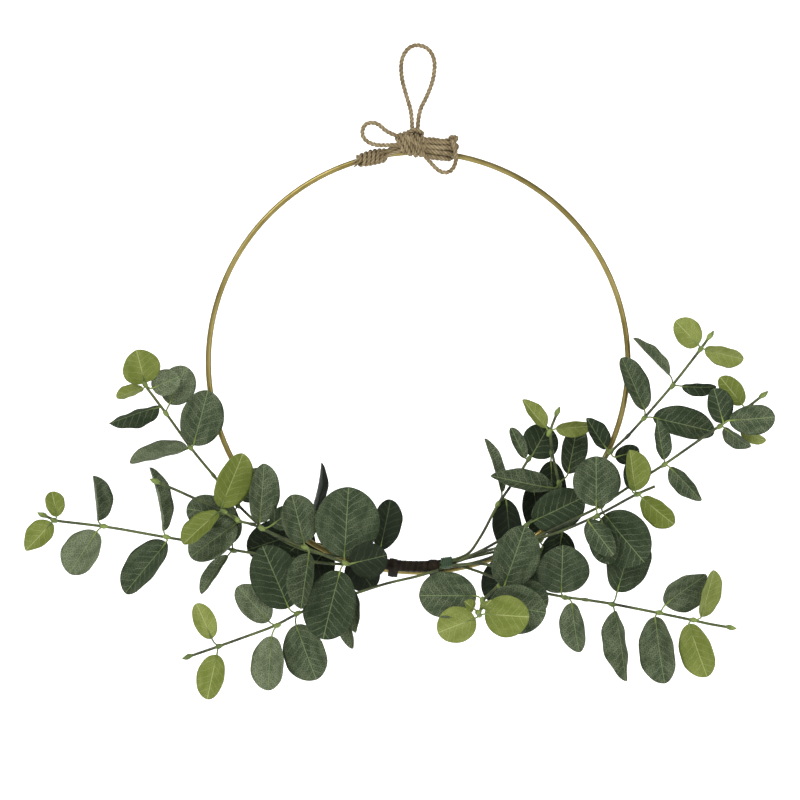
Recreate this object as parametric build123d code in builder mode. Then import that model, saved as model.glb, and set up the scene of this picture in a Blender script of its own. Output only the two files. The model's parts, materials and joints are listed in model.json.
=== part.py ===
from build123d import *
import math
import os

# A hoop wreath: a brass-finished wire hoop, artificial eucalyptus sprays bound to
# its lower edge, and a jute twine hanger tied at the top. Millimetres, +Z up.
# The origin is the nail point, inside the top of the hanging loop, and the
# wreath's front faces -Y.

# ---- driving dimensions ----
hoop_outer_diameter = 300.0
hoop_wire_diameter = 4.0
hoop_set_back = 4.4  # hoop plane behind the hanging loop's plane
loop_drop = 73.5  # nail point to the hoop wire's centreline
twine_diameter = 3.0
stem_diameter = 2.0
leaf_thickness = 0.6
collar_diameter = 3.6
petiole_diameter = 1.3
bud_diameter = 4.2
bud_length = 7.0
bend_gap = 0.5  # each side of the point where a spray bends
left_bunch_arc = 53.0  # bottom centre to the left bunch, along the wire
right_bunch_arc = 60.0
tape_left_arc = 22.5
tape_right_arc = 15.5
tape_wall = 0.5
stem_gap = 0.4  # between neighbouring stems in the bundle
tape_over_stems = 0.3
bundle_clearance = 0.1  # between the wire and the taped bundle
seat_depth = 8.0  # how far each stem runs into the tape
band_width = 5.0
band_inset = 4.0  # tape's end to the middle of its band
knot_width = 21.0
knot_height = 17.0
wrap_thickness = 2.6
left_wrap_arcs = (10.0, 43.0)  # from the hoop's top, along the wire
right_wrap_arcs = (3.0, 28.0)
end_knot_diameter = 6.4
end_knot_offset = Vector(24, -7.4, 7.5)  # from the top of the hoop wire
right_wrap_rise = 2.5
right_wrap_radius = 6.0
right_wrap_depth = 3.0
knot_offset = Vector(-4, -3, 6.5)
loop_foot_rise = 17.0  # hoop wire up to where the hanging loop leaves the knot
loop_drawn_height = 56.5  # nail point down to the foot, as the loop's points are drawn
tie_gap = 1.5
tie_length = 9.0
tie_round = 1.5
exit_run = 1.5
collar_length = 4.0
petiole_reach = 2.0

# ---- values that follow ----
hoop_radius = (hoop_outer_diameter - hoop_wire_diameter) / 2
hoop_centre = Vector(0, hoop_set_back, -loop_drop - hoop_radius)
hoop_top = Vector(0, hoop_set_back, -loop_drop)
knot_centre = hoop_top + knot_offset
end_knot_centre = hoop_top + end_knot_offset
loop_stretch = (loop_drop - loop_foot_rise) / loop_drawn_height
wire_radius = hoop_wire_diameter / 2
stem_radius = stem_diameter / 2
seat_pitch = stem_diameter + stem_gap
bundle_radius = seat_pitch + stem_radius + tape_over_stems
bundle_offset = (wire_radius + bundle_radius + bundle_clearance) / math.sqrt(2)
bundle_ring_radius = hoop_radius - bundle_offset

os.makedirs("parts", exist_ok=True)


# ---- shared shapes ----
def on_ring(arc, ring_radius=hoop_radius, depth=0.0):
    """Point at a signed arc length from the bottom centre, along the wire."""
    angle = arc / hoop_radius
    return hoop_centre + Vector(ring_radius * math.sin(angle), depth, -ring_radius * math.cos(angle))


def bend_radii(points):
    """One radius for each corner: 0.45 of the shorter run over tan(half the turn)."""
    radii = []
    for before, corner, after in zip(points, points[1:], points[2:]):
        run_in = corner - before
        run_out = after - corner
        half_turn = math.radians(run_in.get_angle(run_out)) / 2
        radii.append(0.45 * min(run_in.length, run_out.length) / math.tan(half_turn))
    return radii


def rod(points, diameter):
    """Round rod along straight runs joined by tangent arcs; joins the current part."""
    with BuildLine() as route:
        if len(points) > 2:
            FilletPolyline(*points, radius=bend_radii(points))
        else:
            Line(*points)
    with BuildSketch(Plane(origin=route.line @ 0, z_dir=route.line % 0)) as section:
        Circle(diameter / 2)
    sweep(sections=section.sketch, path=route.line)


def leaf_axes(heading, lean, roll):
    """Direction of a leaf's length and its face normal. Heading 0 is +X and 90 is up;
    lean brings the tip forward; roll turns the blade about its own length."""
    up_angle = math.radians(heading)
    lean_angle = math.radians(lean)
    roll_angle = math.radians(roll)
    along = Vector(
        math.cos(up_angle) * math.cos(lean_angle),
        -math.sin(lean_angle),
        math.sin(up_angle) * math.cos(lean_angle),
    )
    forward = Vector(0, -1, 0)
    facing = (forward - along * forward.dot(along)).normalized()
    side = along.cross(facing)
    return along, facing * math.cos(roll_angle) + side * math.sin(roll_angle)


def ring_plane(arc, ring_radius, depth):
    """Plane across the hoop at an arc length: x outward, y back, z along the wire."""
    angle = arc / hoop_radius
    outward = Vector(math.sin(angle), 0, -math.cos(angle))
    forward = Vector(math.cos(angle), 0, math.sin(angle))
    return Plane(origin=on_ring(arc, ring_radius, depth), x_dir=outward, z_dir=forward)


def ring_sleeve(start_arc, end_arc, ring_radius, section_radius, depth):
    """Round sleeve along part of the hoop, between two arc lengths from bottom centre."""
    with BuildSketch(ring_plane(start_arc, ring_radius, depth)) as section:
        Circle(section_radius)
    turn = math.degrees((end_arc - start_arc) / hoop_radius)
    revolve(section.sketch, axis=Axis(hoop_centre, (0, -1, 0)), revolution_arc=turn)


def blade(base, heading, lean, roll, length, width):
    """Oval leaf blade, flat, with its stalk end at base."""
    along, facing = leaf_axes(heading, lean, roll)
    with BuildSketch(Plane(origin=base + along * (length / 2), x_dir=along, z_dir=facing)) as outline:
        Ellipse(length / 2, width / 2)
    extrude(outline.sketch, amount=leaf_thickness / 2, both=True)


def save(part, label):
    part.label = label
    export_step(part, f"parts/{label}.step")


# ---- wire hoop ----
with BuildPart() as hoop:
    with BuildSketch(ring_plane(0, hoop_radius, 0)):
        Circle(wire_radius)
    revolve(axis=Axis(hoop_centre, (0, -1, 0)))
save(hoop.part, "hoop")

# ---- tape around the stems, and the bands that tie the bundle to the wire ----
with BuildPart() as bundle_tape:
    ring_sleeve(-tape_left_arc, tape_right_arc, bundle_ring_radius, bundle_radius, -bundle_offset)
save(bundle_tape.part, "bundle_tape")

band_middle = bundle_offset / 2
band_outer = bundle_radius + tape_wall
for band_label, band_arc in (
    ("tape_band_left", band_inset - tape_left_arc),
    ("tape_band_right", tape_right_arc - band_inset),
):
    with BuildPart() as band:
        with BuildSketch(ring_plane(band_arc - band_width / 2, hoop_radius - band_middle, -band_middle)):
            SlotCenterToCenter(bundle_offset * math.sqrt(2), 2 * band_outer, rotation=45)
        turn = math.degrees(band_width / hoop_radius)
        revolve(axis=Axis(hoop_centre, (0, -1, 0)), revolution_arc=turn)
        add(hoop.part, mode=Mode.SUBTRACT)
        add(bundle_tape.part, mode=Mode.SUBTRACT)
    save(band.part, band_label)

# ---- green wire tie where the right-hand stems part ----
tie_start = tape_right_arc + tie_gap
tie_end = tie_start + tie_length
with BuildPart() as stem_tie:
    ring_sleeve(tie_start, tie_end, bundle_ring_radius, bundle_radius + tape_wall, -bundle_offset)
    fillet(stem_tie.edges(), tie_round)
    add(hoop.part, mode=Mode.SUBTRACT)
save(stem_tie.part, "stem_tie")


# ---- eucalyptus sprays ----
# Points run from the bunch outward, from the bunch's place on the wire: x, y, z.
# A leaf is: joint (a point's number), petiole (x, y, z), heading, lean, roll, length, width.
left_upper = dict(
    side="left",
    seat=1,
    bend=5,
    bud=False,
    points=[
        (8, -5.5, 1),
        (-12, -6, 2.5),
        (-34, -7, 8),
        (-58, -8, 22),
        (-75, -9, 38),
        (-92, -10, 59),
        (-107, -11, 77),
        (-124, -11.5, 101),
        (-139, -12, 121),
    ],
    leaves=[
        (4, (3, 2, 3), 53, 0, 10, 27, 20),
        (4, (-3, -1, -5), -108, 3, 5, 24, 20),
        (6, (1, -1, 3), 74, 5, 22, 40, 32),
        (6, (-3, 0, 1), -169, 0, 65, 42, 28),
        (7, (1, 4, 8), 66, -3, 10, 29, 25),
        (7, (-6, 0, 6), -164, 0, -60, 37, 24),
        (8, (4, 1.5, -1), 24, 4, 5, 21, 19),
    ],
    young=[
        (8, (-1, 0, 3), 101, 40, 10, 29, 27),
        (8, (-2, 0, -1), -165, 10, 60, 20, 18),
    ],
)

left_outer = dict(
    side="left",
    seat=6,
    bend=4,
    bud=True,
    points=[
        (8, -8.5, -4),
        (-12, -9, -3),
        (-28, -9, -1),
        (-76, -9, 6),
        (-97, -9, 11),
        (-123, -9.5, 15),
        (-167, -10, 23),
        (-202, -11, 27),
        (-209, -11, 30),
    ],
    leaves=[
        (3, (-6, 2, -3.5), -130, -5, 30, 34, 11),
        (3, (-3, 3, 7), 105, -3, 15, 30, 17),
        (5, (-4, 0, 5), 93, 5, 70, 45, 20),
        (5, (-2, 0, -3), -131, 5, 45, 46, 32),
        (6, (-6, 0, 4), 94, 0, 68, 32, 24),
        (6, (-7, 0, -3.5), -125, 10, 30, 35, 30),
    ],
    young=[
        (7, (0, 0, 3), 99, 0, 30, 18, 15),
        (7, (-3.5, 0, -1), -131, 10, 25, 27, 20),
    ],
)

left_front = dict(
    side="left",
    seat=5,
    bend=4,
    bud=True,
    points=[
        (12, -9, -6),
        (-1, -13, -2),
        (-26, -17, 8),
        (-56, -21, 21),
        (-64, -21.5, 25),
        (-73, -22, 27),
        (-86, -23, 35),
        (-104, -24, 43),
        (-117, -25, 49),
        (-129, -25, 54),
    ],
    leaves=[
        (1, (1, -1, 4), 86, 5, 10, 49, 46),
        (1, (-2, -3, -6), -105, 10, 12, 49, 37),
        (1, (5, -2, -1), 13, 10, 15, 27, 27),
        (2, (-2, -3, 4), 103, 10, 25, 35, 28),
        (2, (1.5, -7, -3.5), -99, 10, 25, 39, 21),
        (3, (-3, -2.5, 5), 84, 10, 30, 42, 24),
        (3, (5, 1, 3), 38, 0, 20, 22, 18),
        (5, (-3, 3, 3.5), 171, 0, 5, 35, 24),
        (5, (-3, 7, -1.5), -144, 0, 12, 40, 26),
        (6, (5, 8.5, 4), 62, 0, 18, 32, 15),
    ],
    young=[
        (6, (0, 0, 2), 66, 10, 30, 41, 27),
        (6, (-2, -2, -1.5), -141, 15, 45, 33, 21),
    ],
)

left_lower = dict(
    side="left",
    seat=None,
    bend=4,
    bud=True,
    points=[
        (66, -7.5, -7.5),
        (52, -7.5, -12),
        (29, -8, -17),
        (5, -9, -25),
        (-14, -9.5, -31),
        (-33, -10, -38),
        (-49, -10.5, -47),
        (-88, -11, -61),
        (-107, -11.5, -67.5),
    ],
    leaves=[
        (3, (1.5, -5, 3.5), -86, 5, 30, 30, 13),
        (3, (-6, 1, -4), -83, 0, 25, 35, 11),
        (5, (-6, -3, 4), 113, 4, 0, 47, 35),
        (5, (-1, 0, -8), -71, 10, 20, 41, 32),
        (6, (-4, -2, 3.5), 131, 0, 18, 33, 22),
        (6, (-2, 0, -7), -96, 10, 25, 38, 26),
    ],
    young=[
        (7, (-5, -2, 5.5), 113, 5, 15, 27, 16),
        (7, (-1.5, 0, -6), -103, 10, 20, 32, 21),
    ],
)

left_inner = dict(
    side="left",
    seat=3,
    bend=None,
    bud=False,
    points=[
        (20, -1, 1.5),
        (5, 3.5, 6),
        (-8, 5.5, 14),
        (-21, 6.5, 22),
    ],
    leaves=[
        (0, (5, 0, 5), 76, 0, 25, 36, 22),
        (1, (0, 2, -6), -56, -10, 10, 27, 25),
        (3, (-4, 1, 6), 68, -5, 80, 40, 22),
        (3, (-1.5, 1, -4), -141, -5, 10, 29, 24),
        (2, (-4, 7, -6), -128, -6, 8, 40, 34),
        (3, (-7, 6, -3), -162, -4, 5, 44, 30),
    ],
    young=[],
)

right_back = dict(
    side="right",
    seat=3,
    bend=None,
    bud=False,
    points=[
        (-22, 0, 1),
        (-12, 5, 16),
        (-3, 8, 34),
        (14, 10, 58),
        (19, 10.5, 66),
    ],
    leaves=[
        (2, (4, 3, 10), 102, -3, 35, 40, 9),
        (2, (7, 3, 5), -85, -5, 20, 38, 22),
        (3, (9, 2, -8), -82, -5, 15, 37, 19),
        (4, (-1.5, 0, 2), 114, 0, 20, 24, 10),
        (4, (3, 4, 3), 60, -5, 10, 25, 27),
    ],
    young=[],
)

right_inner = dict(
    side="right",
    seat=4,
    bend=None,
    bud=True,
    points=[
        (-18, 1.5, -1),
        (4, 5, 4),
        (28, 7, 10),
        (46, 8, 22),
        (41, 8, 52),
        (36, 8.5, 74),
        (35, 7, 88),
        (39, 6, 98),
    ],
    leaves=[
        (4, (-4, -4, -5), 170, 0, 28, 45, 17),
        (4, (7, 6, 5), 78, 0, 20, 36, 20),
        (1, (3, 6, -6), -110, -6, 8, 36, 28),
        (2, (2, 6, -6), -115, -5, 8, 40, 30),
        (3, (-2, 6, -6), -100, -5, 10, 36, 26),
        (5, (0, 8, -8), -88, -3, 8, 42, 22),
    ],
    young=[
        (6, (-3, -2, 2), 132, 5, 35, 26, 14),
        (6, (4, -2, 1), 3, 5, 35, 25, 14),
    ],
)

right_upper = dict(
    side="right",
    seat=2,
    bend=4,
    bud=True,
    points=[
        (-16, -4, 2),
        (16, -6, 20),
        (59, -7, 52),
        (77, -7.5, 73),
        (89, -8, 84),
        (99, -8.5, 95),
        (120, -9, 119),
        (140, -9.5, 145),
        (145, -10, 152),
    ],
    leaves=[
        (1, (6, -4, 4), 25, 0, 10, 40, 30),
        (3, (-3, 0, 2), 125, 5, 40, 26, 18),
        (3, (3, -0.5, -4), 15, 0, 20, 18, 15),
        (5, (1.5, -3, 7.5), 112, 5, 38, 40, 22),
        (5, (8, 3, 2), -12, -3, -25, 45, 24),
        (6, (-2, -3, 8), 137, 0, 60, 36, 16),
        (6, (7, 0, 0), -7, 5, 40, 24, 12),
    ],
    young=[
        (7, (-1.5, 0, 3), 134, 15, 20, 24, 21),
        (7, (3, 0, 0), -18, 10, 45, 28, 19),
    ],
)

right_middle = dict(
    side="right",
    seat=0,
    bend=None,
    bud=False,
    points=[
        (-16, -10, 2),
        (10, -17, 9),
        (39, -20, 16),
        (68, -22, 29),
        (93, -23, 43),
        (107, -23, 49),
    ],
    leaves=[
        (3, (-2, 0, 6), 90, 5, 5, 35, 34),
        (3, (-8, -4, -4), -54, 15, 15, 30, 18),
        (3, (2, 1, -4), -82, 0, 20, 31, 22),
        (4, (-2, 1.5, 3), 75, 0, 10, 24, 20),
    ],
    young=[
        (4, (0, -4, 3), 97, 10, 35, 29, 22),
        (4, (5, 0, -2), -43, 10, 40, 29, 22),
    ],
)

right_outer = dict(
    side="right",
    seat=6,
    bend=5,
    bud=True,
    points=[
        (-14, -8, -4),
        (10, -11, 6),
        (33, -13, 17),
        (70, -15, 35),
        (84, -15, 45),
        (98, -15, 54),
        (114, -16, 64),
        (151, -17, 90),
        (172, -17, 104),
        (181, -17, 111),
    ],
    leaves=[
        (3, (2, -4, -6), -51, 8, 15, 43, 39),
        (6, (0, 0, 3.5), 102, 5, 30, 29, 14),
        (6, (4, 0, -2), -45, 5, 35, 32, 16),
        (7, (4, -4, 3.5), 105, 10, 25, 25, 21),
        (7, (5, 0, 0), -44, 0, 60, 23, 19),
        (7, (8, -5, 5), 3, 8, 15, 32, 22),
    ],
    young=[
        (8, (-3, 3, 2), 128, 0, 15, 25, 16),
        (8, (-4, 2, -16), -26, 0, 55, 19, 14),
    ],
)

right_lower = dict(
    side="right",
    seat=1,
    bend=3,
    bud=True,
    points=[
        (-14, -6, -12),
        (14, -8.5, -23),
        (43, -9.5, -29),
        (59, -10, -31),
        (76, -10, -33.5),
        (109, -10.5, -40),
        (133, -11, -45),
        (146, -11, -48),
        (158, -11.5, -50),
    ],
    leaves=[
        (2, (-1, -2, 3), 89, 30, 5, 38, 38),
        (2, (6.5, -3, -4), -86, 5, 30, 35, 20),
        (4, (5.5, 2, 8), 72, -5, 20, 45, 34),
        (4, (3.5, 0, -5.5), -79, 10, 52, 50, 26),
        (5, (6, 0, 5.5), 38, 5, 35, 36, 32),
        (5, (-1, 0, -3), -85, 10, 35, 47, 29),
    ],
    young=[
        (6, (7.5, 0, 2), 73, 5, 50, 34, 23),
        (6, (-1.5, 0, -3), -73, 10, 25, 39, 25),
    ],
)

right_front = dict(
    side="right",
    seat=5,
    bend=None,
    bud=True,
    points=[
        (-14, -14, -5),
        (1, -20, -9),
        (-2, -28, -20),
        (-14, -35, -30),
        (-16, -43, -40),
        (-17, -50, -38),
    ],
    leaves=[
        (2, (4, -1, -1), 72, 10, 15, 45, 34),
        (2, (7, 6, -4), -22, 3, 10, 29, 28),
        (3, (-4, 0, 3), 178, 10, 15, 40, 33),
        (3, (5, 1, -2), -10, 10, 15, 40, 36),
    ],
    young=[
        (4, (-3, 0, -2), -160, 10, 15, 28, 26),
        (4, (3.5, 0, 1), -4, 10, 10, 31, 30),
        (5, (-3, -1, 3), 140, 40, 20, 12, 9),
        (5, (3, -1, 3), 50, 40, 20, 12, 9),
    ],
)

bunch_anchors = dict(left=on_ring(-left_bunch_arc), right=on_ring(right_bunch_arc))
bending_sprays = dict(
    left_upper=left_upper,
    left_outer=left_outer,
    left_front=left_front,
    left_lower=left_lower,
    right_upper=right_upper,
    right_outer=right_outer,
    right_lower=right_lower,
)
bound_sprays = dict(
    left_inner=left_inner,
    right_back=right_back,
    right_inner=right_inner,
    right_middle=right_middle,
    right_front=right_front,
)
all_sprays = {**bending_sprays, **bound_sprays}


def seat_points(side, place):
    """Where a stem starts inside the tape, and where it leaves the bundle."""
    angle = math.radians(60 * place)
    reach = seat_pitch if place else 0
    ring_radius = bundle_ring_radius + reach * math.cos(angle)
    depth = -bundle_offset + reach * math.sin(angle)
    if side == "left":
        arcs = (seat_depth - tape_left_arc, -tape_left_arc - exit_run)
    else:
        arcs = (tape_right_arc - seat_depth, tie_end + exit_run)
    return [on_ring(arc, ring_radius, depth) for arc in arcs]


def stem_points(spray):
    """The stem's whole route, and how many points stand before the spray's own list."""
    anchor = bunch_anchors[spray["side"]]
    start = [] if spray["seat"] is None else seat_points(spray["side"], spray["seat"])
    return start + [anchor + Vector(*point) for point in spray["points"]], len(start)


def stem_halves(spray):
    """Routes of the bound part and of the bending part, with the gap left between them."""
    points, skip = stem_points(spray)
    if spray["bend"] is None:
        return points, None
    place = spray["bend"] + skip
    pivot = points[place]
    bound_end = pivot + (points[place - 1] - pivot).normalized() * bend_gap
    free_start = pivot + (points[place + 1] - pivot).normalized() * bend_gap
    return points[:place] + [bound_end], [free_start] + points[place + 1 :]


def joint_place(spray, joint):
    return bunch_anchors[spray["side"]] + Vector(*spray["points"][joint])


def is_free(spray, joint):
    """True for a leaf that stands beyond the point where its spray bends."""
    return spray["bend"] is not None and joint > spray["bend"]


def pick(sprays, kinds, free):
    """The leaf rows of the given kinds, on the bending or on the bound side."""
    rows = []
    for spray in sprays:
        for kind in kinds:
            rows += [(spray, row) for row in spray[kind] if is_free(spray, row[0]) == free]
    return rows


def leaf_node(label, rows):
    """One leaf blade for each row, each a solid of its own."""
    with BuildPart() as leaves:
        for spray, (joint, petiole, heading, lean, roll, length, width) in rows:
            base = joint_place(spray, joint) + Vector(*petiole)
            blade(base, heading, lean, roll, length, width)
        if label.endswith("tips"):
            for spray in {id(spray): spray for spray, row in rows}.values():
                if spray["bud"]:
                    bud(spray)
    save(leaves.part, label)


def bud(spray):
    """Pointed closed bud on the end of a stem."""
    points, skip = stem_points(spray)
    direction = (points[-1] - points[-2]).normalized()
    base_plane = Plane(origin=points[-1], z_dir=direction)
    with BuildSketch(base_plane.offset(-1), base_plane.offset(bud_length)) as ends:
        Circle(stem_radius * 0.7)
    with BuildSketch(base_plane.offset(bud_length * 0.4)) as belly:
        Circle(bud_diameter / 2)
    low, high = ends.sketch.faces()
    loft([low, *belly.sketch.faces()], ruled=True)
    loft([*belly.sketch.faces(), high], ruled=True)


def collar_node(label, rows):
    """A moulded collar at each joint, with the petioles that leave it."""
    with BuildPart() as collars:
        joints = {(id(spray), row[0]): (spray, row[0]) for spray, row in rows}
        for spray, joint in joints.values():
            points, skip = stem_points(spray)
            place = min(joint + skip, len(points) - 2)
            direction = (points[place + 1] - points[place]).normalized()
            centre = joint_place(spray, joint)
            with BuildSketch(Plane(origin=centre, z_dir=direction)) as ring:
                Circle(collar_diameter / 2)
            extrude(ring.sketch, amount=collar_length / 2, both=True)
        for spray, (joint, petiole, heading, lean, roll, length, width) in rows:
            along, facing = leaf_axes(heading, lean, roll)
            start = joint_place(spray, joint)
            end = start + Vector(*petiole) + along * petiole_reach
            rod([start, end], petiole_diameter)
    save(collars.part, label)


# each bending spray: its stem, its collars, its grown leaves, and its young leaves with the bud
for spray_label, spray in bending_sprays.items():
    with BuildPart() as stem:
        rod(stem_halves(spray)[1], stem_diameter)
    save(stem.part, f"{spray_label}_stem")
    collar_node(f"{spray_label}_collars", pick([spray], ("leaves", "young"), True))
    leaf_node(f"{spray_label}_leaves", pick([spray], ("leaves",), True))
    leaf_node(f"{spray_label}_tips", pick([spray], ("young",), True))

# the bound stems of each side, and the leaves that stay with the hoop
for side in ("left", "right"):
    members = [spray for spray in all_sprays.values() if spray["side"] == side]
    with BuildPart() as bound_stems:
        for spray in members:
            rod(stem_halves(spray)[0], stem_diameter)
    save(bound_stems.part, f"{side}_bound_stems")
    collar_node(f"{side}_bunch_collars", pick(members, ("leaves", "young"), False))

leaf_node("left_bunch_leaves", pick([left_upper, left_outer, left_front, left_lower], ("leaves",), False))
leaf_node("left_back_leaves", pick([left_inner], ("leaves",), False))
leaf_node("right_back_leaves", pick([right_back, right_inner], ("leaves",), False))
leaf_node("right_inner_tips", pick([right_inner], ("young",), False))
leaf_node("right_bunch_leaves", pick([right_upper, right_outer, right_lower], ("leaves",), False))
leaf_node("right_middle_leaves", pick([right_middle], ("leaves",), False))
leaf_node("right_middle_tips", pick([right_middle], ("young",), False))
leaf_node("right_front_leaves", pick([right_front], ("leaves",), False))
leaf_node("right_front_tips", pick([right_front], ("young",), False))


# ---- jute twine ----
# from the nail point, before the loop is stretched to its foot
hanging_loop_points = [
    Vector(-4.2, 0, -56.5),
    Vector(-4.2, 0, -47),
    Vector(-8, 0, -35),
    Vector(-12, 0, -21),
    Vector(-12, 0, -7),
    Vector(-5, 0, 2),
    Vector(6, 0, 1),
    Vector(12, 0, -8),
    Vector(11, 0, -22),
    Vector(6, 0, -35),
    Vector(-0.2, 0, -46),
    Vector(-0.4, 0, -56.5),
]
# from the top of the hoop wire
bow_left_points = [
    Vector(-11, -6.9, 10),
    Vector(-21, -8.4, 12.5),
    Vector(-29, -10.4, 20.5),
    Vector(-38, -11.4, 19.5),
    Vector(-40, -11.4, 10.5),
    Vector(-33, -11.4, 4.5),
    Vector(-22, -10.4, 4),
    Vector(-11, -8.4, 5),
]
bow_right_points = [
    Vector(1, -7.9, 1.5),
    Vector(8, -11.4, -7.5),
    Vector(16, -12.9, -15.5),
    Vector(23.5, -12.9, -14.5),
    Vector(27, -12.4, -6.5),
    Vector(26, -11.4, 1.5),
    Vector(24, -9.4, 7.5),
]
hanging_loop_route = [Vector(point.X, point.Y, point.Z * loop_stretch) for point in hanging_loop_points]
bow_left_route = [hoop_top + point for point in bow_left_points]
bow_right_route = [hoop_top + point for point in bow_right_points]
for cord_label, cord_route in (
    ("hanging_loop", hanging_loop_route),
    ("bow_loop_left", bow_left_route),
    ("bow_loop_right", bow_right_route),
):
    with BuildPart() as cord:
        rod(cord_route, twine_diameter)
    print(cord_label, "radii", [round(radius, 1) for radius in bend_radii(cord_route)])
    save(cord.part, cord_label)

# The knot is drawn tight round the wire, so the wire runs through its solid.
with BuildPart() as bow_knot:
    with BuildSketch(Plane(origin=knot_centre, x_dir=(1, 0, 0), z_dir=(0, -1, 0))):
        Ellipse(knot_width / 2, knot_height / 2)
        Rectangle(knot_width, knot_height, align=(Align.CENTER, Align.MAX), mode=Mode.SUBTRACT)
    revolve(axis=Axis(knot_centre, (1, 0, 0)))
save(bow_knot.part, "bow_knot")

half_round = math.pi * hoop_radius
with BuildPart() as twine_wrap_left:
    wrap_start = left_wrap_arcs[0] - half_round
    wrap_end = left_wrap_arcs[1] - half_round
    ring_sleeve(wrap_start, wrap_end, hoop_radius, wire_radius + wrap_thickness, 0)
    add(hoop.part, mode=Mode.SUBTRACT)
    add(bow_knot.part, mode=Mode.SUBTRACT)
save(twine_wrap_left.part, "twine_wrap_left")

with BuildPart() as twine_wrap_right:
    wrap_start = half_round - right_wrap_arcs[1]
    wrap_end = half_round - right_wrap_arcs[0]
    ring_sleeve(wrap_start, wrap_end, hoop_radius + right_wrap_rise, right_wrap_radius, -right_wrap_depth)
    add(hoop.part, mode=Mode.SUBTRACT)
    add(bow_knot.part, mode=Mode.SUBTRACT)
save(twine_wrap_right.part, "twine_wrap_right")

with BuildPart() as end_knot:
    with Locations(end_knot_centre):
        Sphere(end_knot_diameter / 2)
    add(twine_wrap_right.part, mode=Mode.SUBTRACT)
save(end_knot.part, "end_knot")
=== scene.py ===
import json
import math

import bpy
import numpy as np
from mathutils import Matrix, Vector


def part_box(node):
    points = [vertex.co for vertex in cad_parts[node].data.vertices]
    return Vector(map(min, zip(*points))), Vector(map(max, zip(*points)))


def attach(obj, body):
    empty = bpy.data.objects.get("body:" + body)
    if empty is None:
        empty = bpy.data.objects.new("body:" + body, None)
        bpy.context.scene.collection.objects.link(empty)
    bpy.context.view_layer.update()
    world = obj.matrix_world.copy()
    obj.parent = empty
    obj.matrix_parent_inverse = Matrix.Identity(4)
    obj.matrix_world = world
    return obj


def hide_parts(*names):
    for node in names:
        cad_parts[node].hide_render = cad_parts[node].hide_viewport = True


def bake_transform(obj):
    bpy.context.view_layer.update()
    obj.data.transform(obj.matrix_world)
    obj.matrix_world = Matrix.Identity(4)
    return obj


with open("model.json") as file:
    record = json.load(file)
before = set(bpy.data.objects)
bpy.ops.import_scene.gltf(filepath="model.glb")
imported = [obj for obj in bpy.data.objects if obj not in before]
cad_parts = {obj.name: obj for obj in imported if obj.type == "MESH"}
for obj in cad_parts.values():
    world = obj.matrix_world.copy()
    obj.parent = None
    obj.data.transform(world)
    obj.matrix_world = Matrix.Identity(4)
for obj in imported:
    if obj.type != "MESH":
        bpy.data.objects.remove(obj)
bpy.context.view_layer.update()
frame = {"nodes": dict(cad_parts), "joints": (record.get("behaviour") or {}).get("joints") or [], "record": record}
scene = bpy.context.scene
print("frame loaded")

# camera: straight on, level, far enough back to look flat
camera = dict(distance=2.5, across=-0.0128, height=-0.2482, seenWidth=0.5633, sensor=36.0)

lens = bpy.data.cameras.new("camera")
lens.sensor_width = camera["sensor"]
lens.lens = camera["sensor"] * camera["distance"] / camera["seenWidth"]
lens.clip_end = 20
eye = bpy.data.objects.new("camera", lens)
scene.collection.objects.link(eye)
eye.location = (camera["across"], -camera["distance"], camera["height"])
eye.rotation_euler = (math.radians(90), 0, 0)
scene.camera = eye
print("camera set")


class Wire:
    # one node output, so that node maths can be written as plain expressions
    def __init__(self, graph, socket):
        self.graph, self.socket = graph, socket

    def port(self, name):
        return Wire(self.graph, self.socket.node.outputs[name])

    def maths(self, operation, *others, first=None):
        values = [self, *others] if first is None else [first, self]
        return self.graph.node("ShaderNodeMath", dict(operation=operation), dict(enumerate(values)))

    def __add__(self, other):
        return self.maths("ADD", other)

    def __sub__(self, other):
        return self.maths("SUBTRACT", other)

    def __mul__(self, other):
        return self.maths("MULTIPLY", other)

    def __truediv__(self, other):
        return self.maths("DIVIDE", other)

    def __pow__(self, other):
        return self.maths("POWER", other)

    def __abs__(self):
        return self.maths("ABSOLUTE")

    def __rsub__(self, other):
        return self.maths("SUBTRACT", first=other)

    def __rtruediv__(self, other):
        return self.maths("DIVIDE", first=other)

    __radd__ = __add__
    __rmul__ = __mul__


class Graph:
    # makes nodes in one tree: settings first, then socket values or links
    def __init__(self, tree):
        self.tree = tree

    def node(self, kind, settings=None, sockets=None, out=0):
        made = self.tree.nodes.new(kind)
        for name, value in (settings or {}).items():
            if name == "stops":
                ramp = made.color_ramp.elements
                for element, (place, colour) in zip((ramp[0], ramp[-1]), (value[0], value[-1])):
                    element.position, element.color = place, (*colour, 1)
                for place, colour in value[1:-1]:
                    ramp.new(place).color = (*colour, 1)
            else:
                setattr(made, name, value)
        for name, value in (sockets or {}).items():
            self.feed(made.inputs[name], value)
        return Wire(self, made.outputs[out])

    def feed(self, socket, value):
        if isinstance(value, Wire):
            self.tree.links.new(value.socket, socket)
        else:
            socket.default_value = value

    def step(self, value, low, high, start=0.0, end=1.0):
        span = {"Value": value, "From Min": low, "From Max": high, "To Min": start, "To Max": end}
        return self.node("ShaderNodeMapRange", dict(interpolation_type="SMOOTHSTEP"), span)

    def mix(self, share, first, second):
        ends = {0: share, 6: first, 7: second}
        return self.node("ShaderNodeMix", dict(data_type="RGBA"), ends, out=2)

    def attribute(self, name, part="Vector"):
        read = self.node("ShaderNodeAttribute", dict(attribute_name=name))
        return read.port(part)

    def noise(self, vector, scale, detail=2.0, roughness=0.5):
        values = {"Vector": vector, "Scale": scale, "Detail": detail, "Roughness": roughness}
        return self.node("ShaderNodeTexNoise", None, values)

    def vector(self, operation, *values):
        return self.node("ShaderNodeVectorMath", dict(operation=operation), dict(enumerate(values)))


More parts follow.
